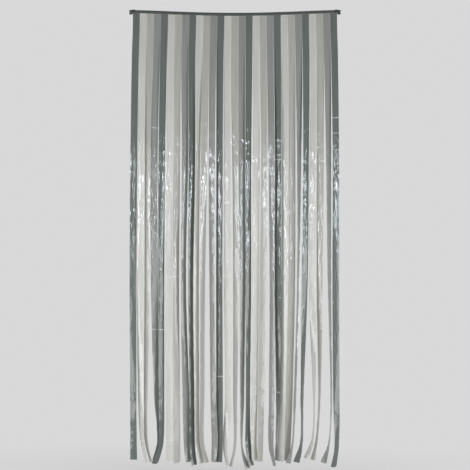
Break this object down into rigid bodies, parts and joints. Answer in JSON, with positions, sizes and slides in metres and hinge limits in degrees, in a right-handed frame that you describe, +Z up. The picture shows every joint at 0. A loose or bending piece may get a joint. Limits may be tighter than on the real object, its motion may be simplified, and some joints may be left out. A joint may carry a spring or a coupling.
{
  "type": "door curtain",
  "caption": "Strip door curtain: flat soft PVC strips in repeating greys and white, hung by welded loops on a rod inside a dark bowed rail with screwed end brackets.",
  "frame": {"origin": "midway between the two fixing screws, at their height, on the plane of the wall or door frame that the end brackets are screwed to", "axes": "+X along the rail towards the right end, +Y out of the back into the wall, +Z up"},
  "size_m": [0.9, 0.0589, 1.9557],
  "materials": {
    "charcoal": "soft PVC, glossy",
    "white": "soft PVC, glossy",
    "taupe": "soft PVC, glossy",
    "grey": "soft PVC, glossy",
    "rail_plastic": "satin",
    "bracket_plastic": "satin",
    "steel": "zinc plated"
  },
  "bodies": {
    "rail_assembly": {"rail": "rail_plastic", "hanging_rod": "steel", "left_end_bracket": "bracket_plastic", "right_end_bracket": "bracket_plastic", "left_screw": "steel", "right_screw": "steel"},
    "strip_01": {"strip_01": "charcoal"},
    "strip_02": {"strip_02": "white"},
    "strip_03": {"strip_03": "taupe"},
    "strip_04": {"strip_04": "grey"},
    "strip_05": {"strip_05": "charcoal"},
    "strip_06": {"strip_06": "white"},
    "strip_07": {"strip_07": "taupe"},
    "strip_08": {"strip_08": "grey"},
    "strip_09": {"strip_09": "charcoal"},
    "strip_10": {"strip_10": "white"},
    "strip_11": {"strip_11": "taupe"},
    "strip_12": {"strip_12": "grey"},
    "strip_13": {"strip_13": "charcoal"},
    "strip_14": {"strip_14": "white"},
    "strip_15": {"strip_15": "taupe"},
    "strip_16": {"strip_16": "grey"},
    "strip_17": {"strip_17": "charcoal"},
    "strip_18": {"strip_18": "white"},
    "strip_19": {"strip_19": "taupe"},
    "strip_20": {"strip_20": "grey"},
    "strip_21": {"strip_21": "charcoal"},
    "strip_22": {"strip_22": "white"},
    "strip_23": {"strip_23": "taupe"},
    "strip_24": {"strip_24": "grey"},
    "strip_25": {"strip_25": "charcoal"},
    "strip_26": {"strip_26": "white"},
    "strip_27": {"strip_27": "taupe"},
    "strip_28": {"strip_28": "grey"},
    "strip_29": {"strip_29": "charcoal"}
  },
  "joints": [
    {"name": "strip_01_swing", "type": "hinge", "parent": "rail_assembly", "child": "strip_01", "pos_m": [-0.4193, -0.0103, -0.00234], "axis": [1, 0, 0], "range_deg": [-55, 55]},
    {"name": "strip_02_swing", "type": "hinge", "parent": "rail_assembly", "child": "strip_02", "pos_m": [-0.38935, -0.0103, -0.00301], "axis": [1, 0, 0], "range_deg": [-55, 55]},
    {"name": "strip_03_swing", "type": "hinge", "parent": "rail_assembly", "child": "strip_03", "pos_m": [-0.3594, -0.0103, -0.004], "axis": [1, 0, 0], "range_deg": [-55, 55]},
    {"name": "strip_04_swing", "type": "hinge", "parent": "rail_assembly", "child": "strip_04", "pos_m": [-0.32945, -0.0103, -0.00513], "axis": [1, 0, 0], "range_deg": [-55, 55]},
    {"name": "strip_05_swing", "type": "hinge", "parent": "rail_assembly", "child": "strip_05", "pos_m": [-0.2995, -0.0103, -0.00632], "axis": [1, 0, 0], "range_deg": [-55, 55]},
    {"name": "strip_06_swing", "type": "hinge", "parent": "rail_assembly", "child": "strip_06", "pos_m": [-0.26955, -0.0103, -0.0075], "axis": [1, 0, 0], "range_deg": [-55, 55]},
    {"name": "strip_07_swing", "type": "hinge", "parent": "rail_assembly", "child": "strip_07", "pos_m": [-0.2396, -0.0103, -0.00865], "axis": [1, 0, 0], "range_deg": [-55, 55]},
    {"name": "strip_08_swing", "type": "hinge", "parent": "rail_assembly", "child": "strip_08", "pos_m": [-0.20965, -0.0103, -0.00972], "axis": [1, 0, 0], "range_deg": [-55, 55]},
    {"name": "strip_09_swing", "type": "hinge", "parent": "rail_assembly", "child": "strip_09", "pos_m": [-0.1797, -0.0103, -0.0107], "axis": [1, 0, 0], "range_deg": [-55, 55]},
    {"name": "strip_10_swing", "type": "hinge", "parent": "rail_assembly", "child": "strip_10", "pos_m": [-0.14975, -0.0103, -0.01155], "axis": [1, 0, 0], "range_deg": [-55, 55]},
    {"name": "strip_11_swing", "type": "hinge", "parent": "rail_assembly", "child": "strip_11", "pos_m": [-0.1198, -0.0103, -0.01228], "axis": [1, 0, 0], "range_deg": [-55, 55]},
    {"name": "strip_12_swing", "type": "hinge", "parent": "rail_assembly", "child": "strip_12", "pos_m": [-0.08985, -0.0103, -0.01285], "axis": [1, 0, 0], "range_deg": [-55, 55]},
    {"name": "strip_13_swing", "type": "hinge", "parent": "rail_assembly", "child": "strip_13", "pos_m": [-0.0599, -0.0103, -0.01326], "axis": [1, 0, 0], "range_deg": [-55, 55]},
    {"name": "strip_14_swing", "type": "hinge", "parent": "rail_assembly", "child": "strip_14", "pos_m": [-0.02995, -0.0103, -0.01352], "axis": [1, 0, 0], "range_deg": [-55, 55]},
    {"name": "strip_15_swing", "type": "hinge", "parent": "rail_assembly", "child": "strip_15", "pos_m": [0, -0.0103, -0.0136], "axis": [1, 0, 0], "range_deg": [-55, 55]},
    {"name": "strip_16_swing", "type": "hinge", "parent": "rail_assembly", "child": "strip_16", "pos_m": [0.02995, -0.0103, -0.01352], "axis": [1, 0, 0], "range_deg": [-55, 55]},
    {"name": "strip_17_swing", "type": "hinge", "parent": "rail_assembly", "child": "strip_17", "pos_m": [0.0599, -0.0103, -0.01326], "axis": [1, 0, 0], "range_deg": [-55, 55]},
    {"name": "strip_18_swing", "type": "hinge", "parent": "rail_assembly", "child": "strip_18", "pos_m": [0.08985, -0.0103, -0.01285], "axis": [1, 0, 0], "range_deg": [-55, 55]},
    {"name": "strip_19_swing", "type": "hinge", "parent": "rail_assembly", "child": "strip_19", "pos_m": [0.1198, -0.0103, -0.01228], "axis": [1, 0, 0], "range_deg": [-55, 55]},
    {"name": "strip_20_swing", "type": "hinge", "parent": "rail_assembly", "child": "strip_20", "pos_m": [0.14975, -0.0103, -0.01155], "axis": [1, 0, 0], "range_deg": [-55, 55]},
    {"name": "strip_21_swing", "type": "hinge", "parent": "rail_assembly", "child": "strip_21", "pos_m": [0.1797, -0.0103, -0.0107], "axis": [1, 0, 0], "range_deg": [-55, 55]},
    {"name": "strip_22_swing", "type": "hinge", "parent": "rail_assembly", "child": "strip_22", "pos_m": [0.20965, -0.0103, -0.00972], "axis": [1, 0, 0], "range_deg": [-55, 55]},
    {"name": "strip_23_swing", "type": "hinge", "parent": "rail_assembly", "child": "strip_23", "pos_m": [0.2396, -0.0103, -0.00865], "axis": [1, 0, 0], "range_deg": [-55, 55]},
    {"name": "strip_24_swing", "type": "hinge", "parent": "rail_assembly", "child": "strip_24", "pos_m": [0.26955, -0.0103, -0.0075], "axis": [1, 0, 0], "range_deg": [-55, 55]},
    {"name": "strip_25_swing", "type": "hinge", "parent": "rail_assembly", "child": "strip_25", "pos_m": [0.2995, -0.0103, -0.00632], "axis": [1, 0, 0], "range_deg": [-55, 55]},
    {"name": "strip_26_swing", "type": "hinge", "parent": "rail_assembly", "child": "strip_26", "pos_m": [0.32945, -0.0103, -0.00513], "axis": [1, 0, 0], "range_deg": [-55, 55]},
    {"name": "strip_27_swing", "type": "hinge", "parent": "rail_assembly", "child": "strip_27", "pos_m": [0.3594, -0.0103, -0.004], "axis": [1, 0, 0], "range_deg": [-55, 55]},
    {"name": "strip_28_swing", "type": "hinge", "parent": "rail_assembly", "child": "strip_28", "pos_m": [0.38935, -0.0103, -0.00301], "axis": [1, 0, 0], "range_deg": [-55, 55]},
    {"name": "strip_29_swing", "type": "hinge", "parent": "rail_assembly", "child": "strip_29", "pos_m": [0.4193, -0.0103, -0.00234], "axis": [1, 0, 0], "range_deg": [-55, 55]}
  ]
}
